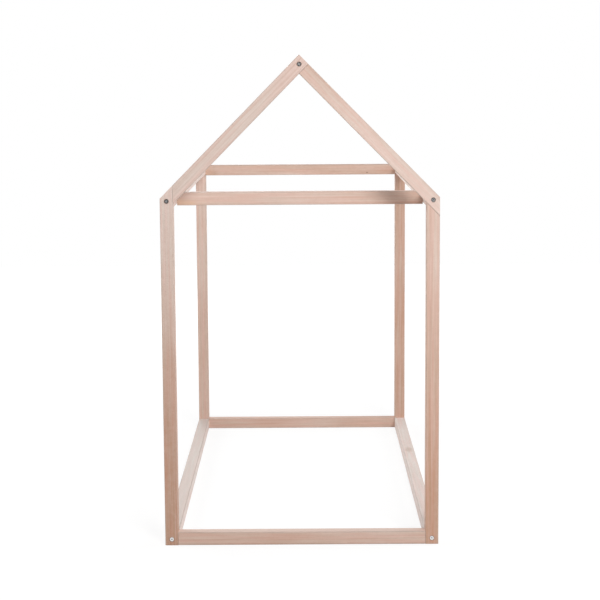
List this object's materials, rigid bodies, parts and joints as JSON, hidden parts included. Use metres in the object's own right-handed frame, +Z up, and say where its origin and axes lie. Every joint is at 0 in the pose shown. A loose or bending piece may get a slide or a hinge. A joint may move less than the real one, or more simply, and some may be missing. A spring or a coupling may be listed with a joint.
{
  "type": "house frame bed",
  "caption": "Floor-standing child's bed frame of bare beech bars, shaped like a small open house with a gable at the foot end and a mattress bay on the floor.",
  "frame": {"origin": "on the floor, at the middle of the rectangle that the frame covers", "axes": "+X to the right seen from the gable end, +Y from the gable end to the rear end, +Z up"},
  "size_m": [1.006, 2.106, 1.788],
  "materials": {
    "beech": "fine sanded, clear matt, long edges slightly rounded",
    "dowel_beech": "plain turned",
    "zinc_steel": "bright zinc plated"
  },
  "bodies": {
    "root": {"apex_bolt": "zinc_steel", "apex_sleeve_nut": "zinc_steel", "front_bottom_rail": "beech", "front_bottom_rail_barrel_nuts": "zinc_steel", "front_bottom_rail_bolts": "zinc_steel", "front_bottom_rail_dowels": "dowel_beech", "front_cross_rail": "beech", "front_cross_rail_barrel_nuts": "zinc_steel", "front_cross_rail_bolts": "zinc_steel", "front_cross_rail_dowels": "dowel_beech", "front_eave_barrel_nuts": "zinc_steel", "front_eave_bolts": "zinc_steel", "front_eave_dowels": "dowel_beech", "front_foot_barrel_nuts": "zinc_steel", "front_foot_bolts": "zinc_steel", "front_foot_dowels": "dowel_beech", "front_left_post": "beech", "front_right_post": "beech", "left_bottom_rail": "beech", "left_rafter": "beech", "left_top_rail": "beech", "rear_bottom_rail": "beech", "rear_bottom_rail_barrel_nuts": "zinc_steel", "rear_bottom_rail_bolts": "zinc_steel", "rear_bottom_rail_dowels": "dowel_beech", "rear_cross_rail": "beech", "rear_cross_rail_barrel_nuts": "zinc_steel", "rear_cross_rail_bolts": "zinc_steel", "rear_cross_rail_dowels": "dowel_beech", "rear_foot_barrel_nuts": "zinc_steel", "rear_foot_bolts": "zinc_steel", "rear_foot_dowels": "dowel_beech", "rear_left_post": "beech", "rear_right_post": "beech", "rear_top_rail_barrel_nuts": "zinc_steel", "rear_top_rail_bolts": "zinc_steel", "rear_top_rail_dowels": "dowel_beech", "right_bottom_rail": "beech", "right_rafter": "beech", "right_top_rail": "beech"}
  },
  "joints": []
}
